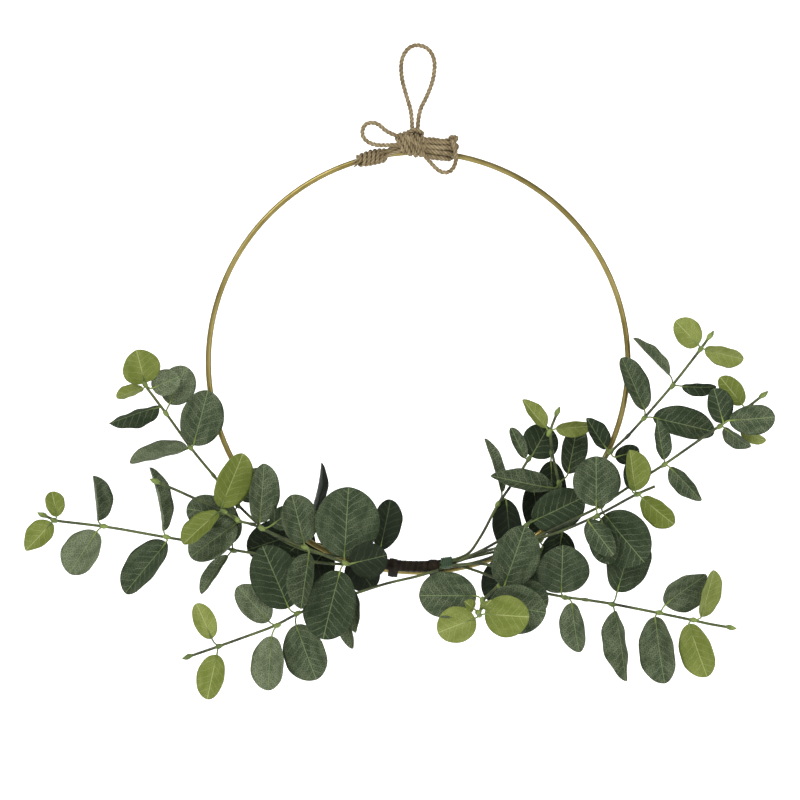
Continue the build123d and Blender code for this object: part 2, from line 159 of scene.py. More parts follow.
class Finish(Graph):
    # a material with its one shader
    def __init__(self, name, roughness=0.5, metallic=0.0, **uniform):
        self.material = bpy.data.materials.new(name)
        self.material.use_nodes = True
        super().__init__(self.material.node_tree)
        self.shader = self.tree.nodes["Principled BSDF"].inputs
        self.shader["Roughness"].default_value = roughness
        self.shader["Metallic"].default_value = metallic
        for name, value in uniform.items():
            self.shader[name.replace("_", " ")].default_value = value

    def place(self):
        return self.node("ShaderNodeTexCoord").port("Object")

    def wear(self, colour, roughness=None, height=None, depth=0.0002, strength=1.0):
        # what varies over the surface
        self.feed(self.shader["Base Color"], colour)
        if roughness is not None:
            self.feed(self.shader["Roughness"], roughness)
        if height is not None:
            push = {"Height": height, "Distance": depth, "Strength": strength}
            self.feed(self.shader["Normal"], self.node("ShaderNodeBump", None, push))
        return self.material


# jute: three loose plies, spun from pale and brown fibres
jute = dict(dark=(0.075, 0.05, 0.022), mid=(0.205, 0.157, 0.083), pale=(0.36, 0.295, 0.185))


def juteFinish():
    f = Finish("juteTwine", roughness=0.92)
    f.shader["Specular IOR Level"].default_value = 0.25
    run = f.attribute("alongTwine", "Fac")
    around = f.attribute("aroundTwine", "Fac")
    # fibres lie nearly along a ply: long in the run, narrow round the strand
    lay = f.node("ShaderNodeCombineXYZ", None, {0: run * 260, 1: around * 34 + run * 900, 2: 0.0})
    fibre = f.noise(lay, 1.0, 3.0, 0.65)
    blotch = f.noise(f.place(), 190.0, 2.0)
    shade = fibre * 0.75 + blotch * 0.55 - 0.15
    ramp = [(0.24, jute["dark"]), (0.5, jute["mid"]), (0.76, jute["pale"])]
    colour = f.node("ShaderNodeValToRGB", dict(stops=ramp), {0: shade})
    groove = f.attribute("plyRise", "Fac")
    shadow = f.step(groove, 0.0, 0.75, 0.45, 1.0)
    grey = f.node("ShaderNodeCombineColor", None, {0: shadow, 1: shadow, 2: shadow})
    darkened = {0: 1.0, 6: colour, 7: grey}
    colour = f.node("ShaderNodeMix", dict(data_type="RGBA", blend_type="MULTIPLY"), darkened, out=2)
    return f.wear(colour, height=fibre, depth=0.00035, strength=0.9)


juteMaterial = juteFinish()


def link(name, mesh):
    made = bpy.data.objects.new(name, mesh)
    scene.collection.objects.link(made)
    return made


def newTree(name, inputs):
    tree = bpy.data.node_groups.new(name, "GeometryNodeTree")
    tree.is_modifier = True
    tree.interface.new_socket("Geometry", in_out="INPUT", socket_type="NodeSocketGeometry")
    for label, kind in inputs:
        tree.interface.new_socket(label, in_out="INPUT", socket_type="NodeSocket" + kind)
    tree.interface.new_socket("Geometry", in_out="OUTPUT", socket_type="NodeSocketGeometry")
    graph = Graph(tree)
    graph.given = graph.node("NodeGroupInput")
    return graph


def endTree(graph, geometry):
    # the tree ends in plain, smooth, finished faces
    real = graph.node("GeometryNodeRealizeInstances", None, {"Geometry": geometry})
    smooth = graph.node("GeometryNodeSetShadeSmooth", None, {"Geometry": real})
    done = graph.node("GeometryNodeSetMaterial", None, {
        "Geometry": smooth, "Material": graph.given.port("Material")})
    out = graph.tree.nodes.new("NodeGroupOutput")
    graph.feed(out.inputs[0], done)
    return graph.tree


def grow(source, tree, name, values):
    # runs a tree on a source object and keeps only the plain mesh
    modifier = source.modifiers.new("grow", "NODES")
    modifier.node_group = tree
    for item in tree.interface.items_tree:
        if item.in_out == "INPUT" and item.name in values:
            modifier[item.identifier] = values[item.name]
    bpy.context.view_layer.update()
    ready = source.evaluated_get(bpy.context.evaluated_depsgraph_get())
    mesh = bpy.data.meshes.new_from_object(ready)
    mesh.name = name
    source.modifiers.clear()
    bpy.data.objects.remove(source)
    return link(name, mesh)


def lines(name, runs, **attributes):
    # one mesh of edge runs, with point values the sweep tree reads
    points = np.concatenate([np.asarray(run, float) for run in runs])
    edges, start = [], 0
    for run in runs:
        edges += [(start + i, start + i + 1) for i in range(len(run) - 1)]
        start += len(run)
    mesh = bpy.data.meshes.new(name)
    mesh.from_pydata(points.tolist(), edges, [])
    for label, values in attributes.items():
        values = np.concatenate([np.asarray(v, np.float32) for v in values])
        kind, key = ("FLOAT", "value") if values.ndim == 1 else ("FLOAT_VECTOR", "vector")
        mesh.attributes.new(label, kind, "POINT").data.foreach_set(key, values.ravel())
    return link(name, mesh)


def named(graph, name, kind="FLOAT"):
    return graph.node("GeometryNodeInputNamedAttribute", dict(data_type=kind), {"Name": name})


def store(graph, geometry, name, value):
    return graph.node("GeometryNodeStoreNamedAttribute", dict(data_type="FLOAT", domain="POINT"), {
        "Geometry": geometry, "Name": name, "Value": value})


def sweepTree(name, held):
    # a section swept along edge runs; held sections keep their face to the outward attribute
    g = newTree(name, [("Section", "Object"), ("Twist", "Float"), ("Material", "Material")])
    curve = g.node("GeometryNodeMeshToCurve", None, {"Mesh": g.given.port("Geometry")})
    if held:
        curve = g.node("GeometryNodeSetCurveNormal", dict(mode="FREE"), {
            "Curve": curve, "Normal": named(g, "outward", "FLOAT_VECTOR")})
    run = g.node("GeometryNodeSplineParameter").port("Length")
    curve = store(g, curve, "alongTwine", run)
    turned = run * g.given.port("Twist")
    curve = g.node("GeometryNodeSetCurveTilt", None, {"Curve": curve, "Tilt": turned})
    section = g.node("GeometryNodeObjectInfo", None, {"Object": g.given.port("Section")}).port("Geometry")
    section = g.node("GeometryNodeMeshToCurve", None, {"Mesh": section})
    tube = g.node("GeometryNodeCurveToMesh", None, {
        "Curve": curve, "Profile Curve": section, "Scale": named(g, "girth"), "Fill Caps": True})
    return endTree(g, tube)


def section(name, points, **values):
    # a closed outline in the XY plane, with values round it
    mesh = bpy.data.meshes.new(name)
    count = len(points)
    mesh.from_pydata([(x, y, 0) for x, y in points], [(i, (i + 1) % count) for i in range(count)], [])
    for label, numbers in values.items():
        mesh.attributes.new(label, "FLOAT", "POINT").data.foreach_set("value", numbers)
    return bpy.data.objects.new(name, mesh)


# three round plies side by side, seen in section, for a strand one unit in radius
plies = dict(count=3, pitch=0.0092, plyRadius=0.53, plyOffset=0.48, steps=27)


def plySection():
    points, rise, around = [], [], []
    for i in range(plies["steps"]):
        angle = 2 * math.pi * i / plies["steps"]
        nearest = round(angle * plies["count"] / (2 * math.pi)) * 2 * math.pi / plies["count"]
        off = angle - nearest
        radius = plies["plyOffset"] * math.cos(off)
        radius += math.sqrt(plies["plyRadius"] ** 2 - (plies["plyOffset"] * math.sin(off)) ** 2)
        points.append((radius * math.cos(angle), radius * math.sin(angle)))
        rise.append((radius - 0.55) / 0.45)
        around.append(abs(i / plies["steps"] - 0.5) * 2)
    return section("plySection", points, plyRise=rise, aroundTwine=around)


def roundSection(steps):
    angles = [2 * math.pi * i / steps for i in range(steps)]
    return section("roundSection%d" % steps, [(math.cos(a), math.sin(a)) for a in angles])


twineSection = plySection()
stalkSection = roundSection(12)
looseSweep = sweepTree("sweepLoose", False)
heldSweep = sweepTree("sweepHeld", True)
strandTwist = 2 * math.pi / plies["pitch"]
lineGap = 0.0005


def routeLine(points):
    # the smooth line of a NURBS route, as evenly spaced points
    curve = bpy.data.curves.new("route", "CURVE")
    curve.dimensions = "3D"
    spline = curve.splines.new("NURBS")
    spline.points.add(len(points) - 1)
    for point, place in zip(spline.points, points):
        point.co = (*place, 1)
    spline.order_u = 3
    spline.use_endpoint_u = True
    spline.resolution_u = 24
    holder = link("route", curve)
    bpy.context.view_layer.update()
    mesh = bpy.data.meshes.new_from_object(holder)
    line = np.array([v.co for v in mesh.vertices])
    bpy.data.objects.remove(holder)
    return even(line, lineGap)


def even(line, gap):
    line = np.asarray(line, float)
    walked = np.concatenate([[0], np.cumsum(np.linalg.norm(np.diff(line, axis=0), axis=1))])
    count = max(4, int(walked[-1] / gap) + 1)
    places = np.linspace(0, walked[-1], count)
    return np.stack([np.interp(places, walked, line[:, k]) for k in range(3)], axis=1)


# loose fibre ends that stand off the twine
fuzz = dict(
    perSquareMetre=130000, length=0.0026, lean=1.0,
    girth=0.02, taper=0.8, bow=0.22, sides=3, rings=5,  # one fibre, as shares of its length
)


def fibreSeed():
    # one bent, tapered fibre, one unit long
    sides, rings = fuzz["sides"], fuzz["rings"]
    points, faces = [], []
    for ring in range(rings):
        share = ring / (rings - 1)
        for corner in range(sides):
            angle = 2 * math.pi * corner / sides
            girth = fuzz["girth"] * (1 - fuzz["taper"] * share)
            bow = fuzz["bow"] * share ** 2
            points.append((girth * math.cos(angle) + bow, girth * math.sin(angle), share))
    for ring in range(rings - 1):
        for corner in range(sides):
            a, b = ring * sides + corner, ring * sides + (corner + 1) % sides
            faces.append((a, b, b + sides, a + sides))
    faces += [tuple(reversed(range(sides))), tuple(range(len(points) - sides, len(points)))]
    mesh = bpy.data.meshes.new("fibre")
    mesh.from_pydata(points, [], faces)
    return bpy.data.objects.new("fibre", mesh)


def fuzzTree():
    g = newTree("looseFibres", [
        ("Fibre", "Object"), ("Density", "Float"), ("Length", "Float"), ("Lean", "Float"), ("Seed", "Int"),
        ("Material", "Material")])
    spread = g.node("GeometryNodeDistributePointsOnFaces", dict(distribute_method="RANDOM"), {
        "Mesh": g.given.port("Geometry"), "Density": g.given.port("Density"), "Seed": g.given.port("Seed")})
    lean = g.node("FunctionNodeRandomValue", dict(data_type="FLOAT_VECTOR"), {
        0: (-1, -1, -1), 1: (1, 1, 1), "Seed": g.given.port("Seed")})
    lean = g.vector("SCALE", lean)
    g.feed(lean.socket.node.inputs["Scale"], g.given.port("Lean"))
    turned = g.node("FunctionNodeRotateRotation", dict(rotation_space="LOCAL"), {
        0: spread.port("Rotation"), 1: lean})
    size = g.node("FunctionNodeRandomValue", dict(data_type="FLOAT"), {2: 0.35, 3: 1.0}, out=1)
    fibre = g.node("GeometryNodeObjectInfo", None, {"Object": g.given.port("Fibre")}).port("Geometry")
    placed = g.node("GeometryNodeInstanceOnPoints", None, {
        "Points": spread, "Instance": fibre, "Rotation": turned, "Scale": size * g.given.port("Length")})
    return endTree(g, placed)


fibre = fibreSeed()
fibreTree = fuzzTree()


def strand(name, runs, radius, section=None, twist=strandTwist, material=None, girths=None):
    girths = girths or [np.full(len(run), radius) for run in runs]
    source = lines(name + "Line", runs, girth=girths)
    return grow(source, looseSweep, name, {
        "Section": section or twineSection, "Twist": twist, "Material": material or juteMaterial})


def fibresOn(piece, name, seed, density=1.0, length=1.0):
    return grow(link("fuzzBase", piece.data.copy()), fibreTree, name, {
        "Fibre": fibre, "Density": fuzz["perSquareMetre"] * density, "Length": fuzz["length"] * length,
        "Lean": fuzz["lean"], "Seed": seed, "Material": juteMaterial})


# the hanging loop and the two bow loops, as the routes are in the solid model
twine = dict(
    diameter=0.003,
    fluffed=0.00166,  # the strand's radius over the tops of its plies
    hangingLoop=[(-0.0042, 0, -0.0605), (-0.0042, 0, -0.047), (-0.008, 0, -0.035), (-0.012, 0, -0.021),
                 (-0.012, 0, -0.007), (-0.005, 0, 0.002), (0.006, 0, 0.001), (0.012, 0, -0.008),
                 (0.011, 0, -0.022), (0.006, 0, -0.035), (-0.0002, 0, -0.046), (-0.0004, 0, -0.0605)],
    bowLoopLeft=[(-0.011, -0.0025, -0.0635), (-0.021, -0.004, -0.061), (-0.029, -0.006, -0.053),
                 (-0.038, -0.007, -0.054), (-0.04, -0.007, -0.063), (-0.033, -0.007, -0.069),
                 (-0.022, -0.006, -0.0695), (-0.011, -0.004, -0.0685)],
    bowLoopRight=[(0.001, -0.0035, -0.072), (0.008, -0.007, -0.081), (0.016, -0.0085, -0.089),
                  (0.0235, -0.0085, -0.088), (0.027, -0.008, -0.08), (0.026, -0.007, -0.072),
                  (0.024, -0.005, -0.066)],
    loopBendTop=(-0.0023, 0, -0.0535),
    loopBendFoot=(-0.0023, 0, -0.06),
)

for label, node, body, seed in (("hangingLoop", "hanging_loop", "hanger", 3),
                                ("bowLoopLeft", "bow_loop_left", "hoop", 5),
                                ("bowLoopRight", "bow_loop_right", "hoop", 7)):
    line = routeLine(twine[label])
    cord = strand(label, [line], twine["fluffed"])
    hairs = fibresOn(cord, label + "Fibres", seed)
    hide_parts(node)
    for piece in (cord, hairs):
        if body == "hanger":
            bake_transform(piece)
        else:
            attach(piece, body)
    "taut" if body == "hanger" else "loose"
print("cords made")


def islands(node):
    # each solid of a CAD node: its points, and its triangles as numbers of those points
    mesh = frame["nodes"][node].data
    points = np.zeros(len(mesh.vertices) * 3, np.float32)
    mesh.vertices.foreach_get("co", points)
    mesh.calc_loop_triangles()
    corners = np.zeros(len(mesh.loop_triangles) * 3, np.int32)
    mesh.loop_triangles.foreach_get("vertices", corners)
    spots, same = np.unique(np.round(points.reshape(-1, 3), 6), axis=0, return_inverse=True)
    triangles = same.reshape(-1)[corners].reshape(-1, 3)
    mark = np.arange(len(spots))
    while True:
        low = mark[triangles].min(axis=1)
        fresh = mark.copy()
        np.minimum.at(fresh, triangles.reshape(-1), np.repeat(low, 3))
        fresh = fresh[fresh]
        if (fresh == mark).all():
            break
        mark = fresh
    found = []
    for key in np.unique(mark[triangles[:, 0]]):
        inside = triangles[mark[triangles[:, 0]] == key]
        used, numbers = np.unique(inside, return_inverse=True)
        found.append((spots[used].astype(float), numbers.reshape(-1, 3)))
    return sorted(found, key=lambda solid: round(float(solid[0][:, 0].mean()), 5))


def unit(v):
    return v / np.linalg.norm(v)


def readCollar(solid):
    # the collar's centre and the stem's direction, from its two flat end faces
    points, triangles = solid
    a, b, c = (points[triangles[:, k]] for k in range(3))
    cross = np.cross(b - a, c - a)
    area = np.linalg.norm(cross, axis=1)
    keep = area > 1e-12
    normals, area, triangles = cross[keep] / area[keep, None], area[keep], triangles[keep]
    shares = [(area[np.abs(normals @ n) > 0.9999]).sum() for n in normals]
    axis = normals[int(np.argmax(shares))]
    ends = triangles[np.abs(normals @ axis) > 0.9999]
    # a stalk's end disc can face the same way, but it is small and stands further off
    spots = points[np.unique(ends)]
    centre = np.median(spots, axis=0)
    for _ in range(3):
        near = spots[np.linalg.norm(spots - centre, axis=1) < 0.0034]
        centre = near.mean(axis=0)
    return centre, axis


# blades: their places are read from the solid model, and their looks are chosen here, leaf by leaf from left
# to right. The first number gives the colour: 0 for dark green, 1 for pale grey-green, and below 0 painted
# shade, down to -1 for the darkest. The second is the kind
blades = dict(
    rows=26, columns=14, thickness=0.0005, usualLength=0.04, smallest=0.0105, colourSteps=9.0,
    # broad: where the blade is widest; tip: how pointed; cup, fold, droop and wave in shares of the length
    kinds=[
        dict(broad=0.5, tip=0.05, cup=0.075, fold=0.02, droop=0.05, wave=0.008),
        dict(broad=0.58, tip=0.0, cup=0.06, fold=0.03, droop=0.09, wave=0.012),
        dict(broad=0.44, tip=0.6, cup=0.05, fold=0.07, droop=-0.05, wave=0.014),
        dict(broad=0.5, tip=0.2, cup=0.13, fold=0.1, droop=0.04, wave=0.008),
        dict(broad=0.54, tip=0.15, cup=0.1, fold=0.03, droop=0.17, wave=0.01),
    ],
    looks=dict(
        left_back_leaves=[(-0.5, 0), (-0.3, 0), (-0.6, 0), (-0.8, 4), (-0.7, 0), (-0.6, 1)],
        left_bunch_leaves=[(0.6, 4), (0.2, 0), (0.3, 0), (0.4, 1), (0.35, 0), (0.1, 2), (0.25, 0), (0.2, 3),
                           (0.0, 1), (0.7, 4), (0.15, 0), (0.4, 2), (-0.6, 0)],
        left_front_leaves=[(0.3, 1), (0.45, 0), (0.5, 2)],
        left_lower_leaves=[(0.7, 0), (0.85, 1), (-0.1, 0), (0.3, 1)],
        left_outer_leaves=[(0.95, 1), (0.3, 3), (0.15, 0), (0.5, 4)],
        left_upper_leaves=[(0.0, 2), (0.85, 0), (0.9, 0), (0.7, 0), (0.3, 0)],
        right_back_leaves=[(0.5, 4), (-0.6, 0), (-0.7, 0), (0.3, 0), (0.3, 2), (-0.6, 0), (-0.7, 0),
                           (-0.2, 0), (-0.5, 0), (-0.4, 0), (0.0, 0)],
        right_bunch_leaves=[(-0.1, 0), (0.1, 0), (0.5, 4), (-0.3, 2), (0.0, 0), (-0.5, 0)],
        right_front_leaves=[(0.3, 1), (0.2, 0), (0.3, 0), (0.1, 0)],
        right_lower_leaves=[(0.5, 2), (0.05, 1), (0.45, 1), (0.4, 2)],
        right_middle_leaves=[(0.25, 0), (0.2, 0), (0.1, 0), (-0.1, 1)],
        right_outer_leaves=[(0.2, 2), (0.35, 2), (0.0, 0), (0.3, 4), (0.35, 1)],
        right_upper_leaves=[(0.25, 0), (0.5, 2), (0.1, 0), (-0.2, 4)],
        left_front_tips=[(0.1, 1), (0.1, 0)],
        left_lower_tips=[(0.6, 0), (0.3, 0)],
        left_outer_tips=[(0.3, 2), (0.3, 1)],
        left_upper_tips=[(0.5, 1), (0.3, 0)],
        right_front_tips=[(0.5, 0), (0.2, 2), (0.2, 2), (0.2, 0)],
        right_inner_tips=[(0.4, 2), (0.4, 0)],
        right_lower_tips=[(0.3, 1), (0.4, 0)],
        right_middle_tips=[(0.2, 3), (0.0, 1)],
        right_outer_tips=[(0.0, 0), (0.7, 0)],
        right_upper_tips=[(0.6, 0), (0.6, 1)],
    ),
)


def readBlades(node, collarNode):
    # every leaf of a node: base, directions, length and width, and the collar it grows from
    collars = [(solid[0], *readCollar(solid)) for solid in islands(collarNode)]
    leaves, buds = [], []
    for points, _ in islands(node):
        low, high = points.min(0), points.max(0)
        centre = (low + high) / 2
        if np.linalg.norm(high - low) < blades["smallest"]:
            buds.append(points)
            continue
        spread = np.linalg.eigh(np.cov((points - centre).T))[1]
        normal, across, down = spread[:, 0], spread[:, 1], spread[:, 2]
        reach = [np.abs((points - centre) @ axis).max() for axis in (across, down)]

        def inBlade(shape):
            off = shape - centre
            oval = ((off @ across) / reach[0]) ** 2 + ((off @ down) / reach[1]) ** 2
            return shape[(oval < 1.0) & (np.abs(off @ normal) < 0.001)]

        held = [inBlade(shape) for shape, _, _ in collars]
        own = int(np.argmax([len(spots) for spots in held]))
        along = centre - held[own].mean(0)
        along = unit(along - normal * (along @ normal))
        if normal[1] > 0:
            normal = -normal
        side = np.cross(normal, along)
        length = 2 * np.abs((points - centre) @ along).max()
        width = 2 * np.abs((points - centre) @ side).max()
        leaves.append(dict(base=centre - along * length / 2, along=along, side=side, normal=normal,
                           length=length, width=width, joint=collars[own][1], stem=collars[own][2]))
    return leaves, buds


def bladeSeed(index, kind):
    # one blade, one unit long and one wide, base at the origin, length along X, upper face to +Z
    rows, columns = blades["rows"], blades["columns"]
    grid, marks = [], []
    for i in range(rows + 1):
        run = 0.5 - 0.5 * math.cos(math.pi * i / rows)
        # two half ovals that meet at the widest place; a pointed tip narrows sooner
        if run < kind["broad"]:
            half = (1 - (1 - run / kind["broad"]) ** 2) ** 0.52
        else:
            share = (run - kind["broad"]) / (1 - kind["broad"])
            half = (1 - share ** (2 - 0.5 * kind["tip"])) ** (0.5 + 0.45 * kind["tip"])
        half = max(0.5 * half, 0.012)
        for j in range(columns + 1):
            over = 2 * j / columns - 1
            cup = kind["cup"] * abs(over) ** 1.8 * half * 2
            fold = kind["fold"] * abs(over) * half * 2
            groove = -0.012 * math.exp(-((over * half / 0.035) ** 2)) * (1 - run)
            wave = kind["wave"] * math.sin(17 * run + 2.1 * index + (1.7 if over > 0 else 0)) * over ** 2
            rib = -0.004 * abs(math.sin(math.pi * (run * 7.5 - abs(over) * 1.1)))
            lift = cup + fold + groove + wave + rib * (1 - abs(over)) - kind["droop"] * run ** 2
            grid.append((run, over * half, lift))
            marks.append((run, over * half * 2))
    count = len(grid)
    across = columns + 1
    thick = blades["thickness"] / blades["usualLength"]
    points = grid + [(x, y, z - thick) for x, y, z in grid]
    faces = []
    for i in range(rows):
        for j in range(columns):
            a = i * across + j
            b, c, d = a + 1, a + across + 1, a + across
            faces += [(a, d, c, b), (a + count, b + count, c + count, d + count)]
    rim = list(range(across))
    rim += [i * across + columns for i in range(1, rows + 1)]
    rim += [rows * across + j for j in range(columns - 1, -1, -1)]
    rim += [i * across for i in range(rows - 1, 0, -1)]
    for a, b in zip(rim, rim[1:] + rim[:1]):
        faces.append((a, b, b + count, a + count))
    mesh = bpy.data.meshes.new("blade%d" % index)
    mesh.from_pydata(points, [], faces)
    marked = [(u, v, 1.0) for u, v in marks] + [(u, v, -1.0) for u, v in marks]
    mesh.attributes.new("bladePlace", "FLOAT_VECTOR", "POINT").data.foreach_set(
        "vector", np.array(marked, np.float32).ravel())
    return bpy.data.objects.new("blade%d" % index, mesh)


def leafTree():
    g = newTree("leafBlades", [("Blades", "Collection"), ("Material", "Material")])
    seeds = g.node("GeometryNodeCollectionInfo", None, {
        "Collection": g.given.port("Blades"), "Separate Children": True, "Reset Children": True})
    turn = g.node("FunctionNodeEulerToRotation", None, {"Euler": named(g, "turn", "FLOAT_VECTOR")})
    placed = g.node("GeometryNodeInstanceOnPoints", None, {
        "Points": g.given.port("Geometry"), "Instance": seeds, "Pick Instance": True,
        "Instance Index": named(g, "kind", "INT"), "Rotation": turn,
        "Scale": named(g, "bladeSize", "FLOAT_VECTOR")})
    return endTree(g, placed)


bladeKinds = bpy.data.collections.new("bladeKinds")
for index, kind in enumerate(blades["kinds"]):
    bladeKinds.objects.link(bladeSeed(index, kind))
bladeTree = leafTree()

# the darkest colour of each leaf is painted shade for leaves inside the bunches, and also darkens the grain specks
leafColours = dict(
    grown=dict(
        name="grownLeaf", deep=(0.004, 0.007, 0.003), low=(0.011, 0.022, 0.007), high=(0.046, 0.061, 0.028),
        vein=(0.25, 0.29, 0.18), rib=(0.15, 0.2, 0.085), roughness=0.56, net=0.55, netFrom=0.12),
    young=dict(
        name="youngLeaf", deep=(0.05, 0.07, 0.01), low=(0.088, 0.114, 0.015), high=(0.155, 0.18, 0.038),
        vein=(0.33, 0.37, 0.15), rib=(0.3, 0.34, 0.13), roughness=0.5, net=0.32, netFrom=0.3),
)


def leafFinish(colours):
    f = Finish(colours["name"], roughness=colours["roughness"])
    f.shader["Specular IOR Level"].default_value = 0.1
    place = f.attribute("bladePlace")
    size = f.attribute("bladeSize")
    tone = f.attribute("tone", "Fac")
    millimetres = f.vector("SCALE", f.vector("MULTIPLY", place, size))
    f.feed(millimetres.socket.node.inputs["Scale"], 1000.0)
    parts = f.node("ShaderNodeSeparateXYZ", None, {0: millimetres})
    run, over = parts.port("X"), abs(parts.port("Y")) * 0.5
    share = f.node("ShaderNodeSeparateXYZ", None, {0: place})
    upper = f.step(share.port("Z"), -0.5, 0.5)
    # a little drift so that no vein is ruled straight
    drift = f.noise(millimetres, 0.16, 2.0)
    warp = (drift - 0.5) * 3.2
    midrib = f.step(over + abs(warp) * 0.03, 0.1, 0.55, 1.0, 0.0)
    phase = (run - over * 0.85 + over * over * 0.012 + warp) / 5.2
    gap = abs(f.node("ShaderNodeMath", dict(operation="FRACT"), {0: phase}) - 0.5) * 5.2
    sideVein = f.step(gap, 0.1, 0.42, 1.0, 0.0) * f.step(over, 1.0, 12.0, 1.0, 0.35)
    flat = f.node("ShaderNodeCombineXYZ", None, {
        0: run + warp * 0.3, 1: parts.port("Y") * 0.5, 2: tone * blades["colourSteps"]})
    coarse = f.node("ShaderNodeTexVoronoi", dict(feature="DISTANCE_TO_EDGE", voronoi_dimensions="2D"), {
        "Vector": flat, "Scale": 0.62})
    fine = f.node("ShaderNodeTexVoronoi", dict(feature="DISTANCE_TO_EDGE", voronoi_dimensions="2D"), {
        "Vector": flat, "Scale": 1.25})
    net = f.step(coarse, 0.03, 0.2, 1.0, 0.0) * 0.75 + f.step(fine, 0.03, 0.22, 0.5, 0.0)
    patch = f.noise(millimetres, 0.09, 2.0)
    paler = f.step(tone + (patch - 0.5) * 0.9 + (1 - upper) * 0.35, 0.0, 1.0)
    # painted shade: below zero the blade darkens towards its near-black colour, standing in for the shade inside
    # the bunches; this mask is 1 where none is painted
    outsidePaintedShade = f.step(tone + (patch - 0.5) * 0.3, -1.0, 0.05)
    base = f.mix(paler, (*colours["low"], 1), (*colours["high"], 1))
    base = f.mix(outsidePaintedShade, (*colours["deep"], 1), base)
    grain = f.noise(millimetres, 2.6, 3.0, 0.7)
    shown = (f.step(tone + (1 - upper) * 0.3, -0.3, 1.0, colours["netFrom"], 1.0)
             * f.step(patch, 0.3, 0.62, 0.35, 1.0) * outsidePaintedShade)
    lines = f.node("ShaderNodeMath", dict(operation="MINIMUM"), {0: net * shown * colours["net"], 1: 0.8})
    colour = f.mix(lines, base, (*colours["vein"], 1))
    colour = f.mix(sideVein * 0.3 * outsidePaintedShade, colour, (*colours["vein"], 1))
    colour = f.mix(midrib * (outsidePaintedShade * 0.6 + 0.15), colour, (*colours["rib"], 1))
    colour = f.mix(f.step(grain, 0.35, 0.75, 0.0, 0.22), colour, (*colours["deep"], 1))
    rough = grain * 0.22 + (colours["roughness"] - 0.11)
    height = grain * 0.35 - net * 0.35 - sideVein * 0.8 - midrib * 1.2
    return f.wear(colour, rough, height, depth=0.00022, strength=0.75)


leafMaterials = dict(leaves=leafFinish(leafColours["grown"]), tips=leafFinish(leafColours["young"]))


def camel(name):
    first, *rest = name.split("_")
    return first + "".join(word.capitalize() for word in rest)


bodyOf = {node: body for body, nodes in frame["record"]["behaviour"]["bodies"].items() for node in nodes}
sprayNodes = [name[:-5] for name in frame["nodes"] if name.endswith("_stem")]
stalks, budSpots = {}, {}
for name in sorted(frame["nodes"]):
    if not name.endswith(("_leaves", "_tips")):
        continue
    spray = name.rsplit("_", 1)[0]
    owner = (spray if spray in sprayNodes else name.split("_")[0] + "_bunch") + "_collars"
    leaves, buds = readBlades(name, owner)
    looks = blades["looks"][name]
    stalks.setdefault(owner, []).extend(leaves)
    budSpots.setdefault(bodyOf[name], []).extend(buds)
    frames = [np.array([leaf["along"], leaf["side"], leaf["normal"]]).T for leaf in leaves]
    turns = [Matrix(axes.tolist()).to_euler() for axes in frames]
    mesh = bpy.data.meshes.new(name + "Points")
    mesh.from_pydata([leaf["base"].tolist() for leaf in leaves], [], [])
    for label, kind, key, values in (
        ("turn", "FLOAT_VECTOR", "vector", [tuple(turn) for turn in turns]),
        ("bladeSize", "FLOAT_VECTOR", "vector", [(l["length"], l["width"], l["length"]) for l in leaves]),
        ("tone", "FLOAT", "value", [look[0] for look in looks]),
        ("kind", "INT", "value", [look[1] for look in looks]),
    ):
        mesh.attributes.new(label, kind, "POINT").data.foreach_set(key, np.array(values).ravel())
    piece = grow(link(name + "Points", mesh), bladeTree, camel(name), {
        "Blades": bladeKinds, "Material": leafMaterials[name.rsplit("_", 1)[1]]})
    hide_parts(name)
    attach(piece, bodyOf[name])
print("leaves made")


# stems, collars and the short stalks that carry the leaves
green = dict(
    stem=dict(name="stemPlastic", dark=(0.014, 0.019, 0.006), light=(0.065, 0.085, 0.022), roughness=0.5),
    collar=dict(name="collarPlastic", dark=(0.05, 0.075, 0.018), light=(0.15, 0.2, 0.045), roughness=0.48),
    tie=dict(name="tiePlastic", dark=(0.01, 0.022, 0.01), light=(0.03, 0.06, 0.028), roughness=0.42),
)


def plasticFinish(look):
    f = Finish(look["name"], roughness=look["roughness"], Specular_IOR_Level=0.25)
    place = f.place()
    patch = f.noise(place, 70.0, 3.0, 0.6)
    speck = f.noise(place, 900.0, 2.0, 0.6)
    colour = f.mix(f.step(patch, 0.32, 0.68), (*look["dark"], 1), (*look["light"], 1))
    colour = f.mix(f.step(speck, 0.55, 0.8, 0.0, 0.35), colour, (*look["dark"], 1))
    return f.wear(colour, speck * 0.3 + (look["roughness"] - 0.15), patch * 0.6 + speck * 0.4, 0.0003, 0.6)


stemMaterial = plasticFinish(green["stem"])
collarMaterial = plasticFinish(green["collar"])
tieMaterial = plasticFinish(green["tie"])
for name, node in frame["nodes"].items():
    if name.endswith(("_stem", "_stems")):
        node.data.materials.clear()
        node.data.materials.append(stemMaterial)

stalk = dict(
    steps=11,
    root=0.00105, waist=0.00058, neck=0.0007, tip=0.00022,  # radii, from the collar to the end of the rib
    stemLean=0.35, startPull=0.45, endPull=0.4,  # how the stalk leaves the stem and meets the blade
    footRun=0.0015, reach=0.009, ribSink=0.0006, ribArch=0.0001,  # the rib under the blade
    collarRun=(-0.0027, -0.0019, -0.001, 0, 0.001, 0.0019, 0.0027),
    collarGirth=(0.00104, 0.00128, 0.0017, 0.00192, 0.00168, 0.00126, 0.00104),
    knuckleRun=(-0.0024, -0.0014, 0, 0.0014, 0.0024),
    knuckleGirth=(0.00102, 0.0013, 0.00142, 0.0013, 0.00102),
    endReach=0.0013,  # the stem's points this near its bend are its end
)


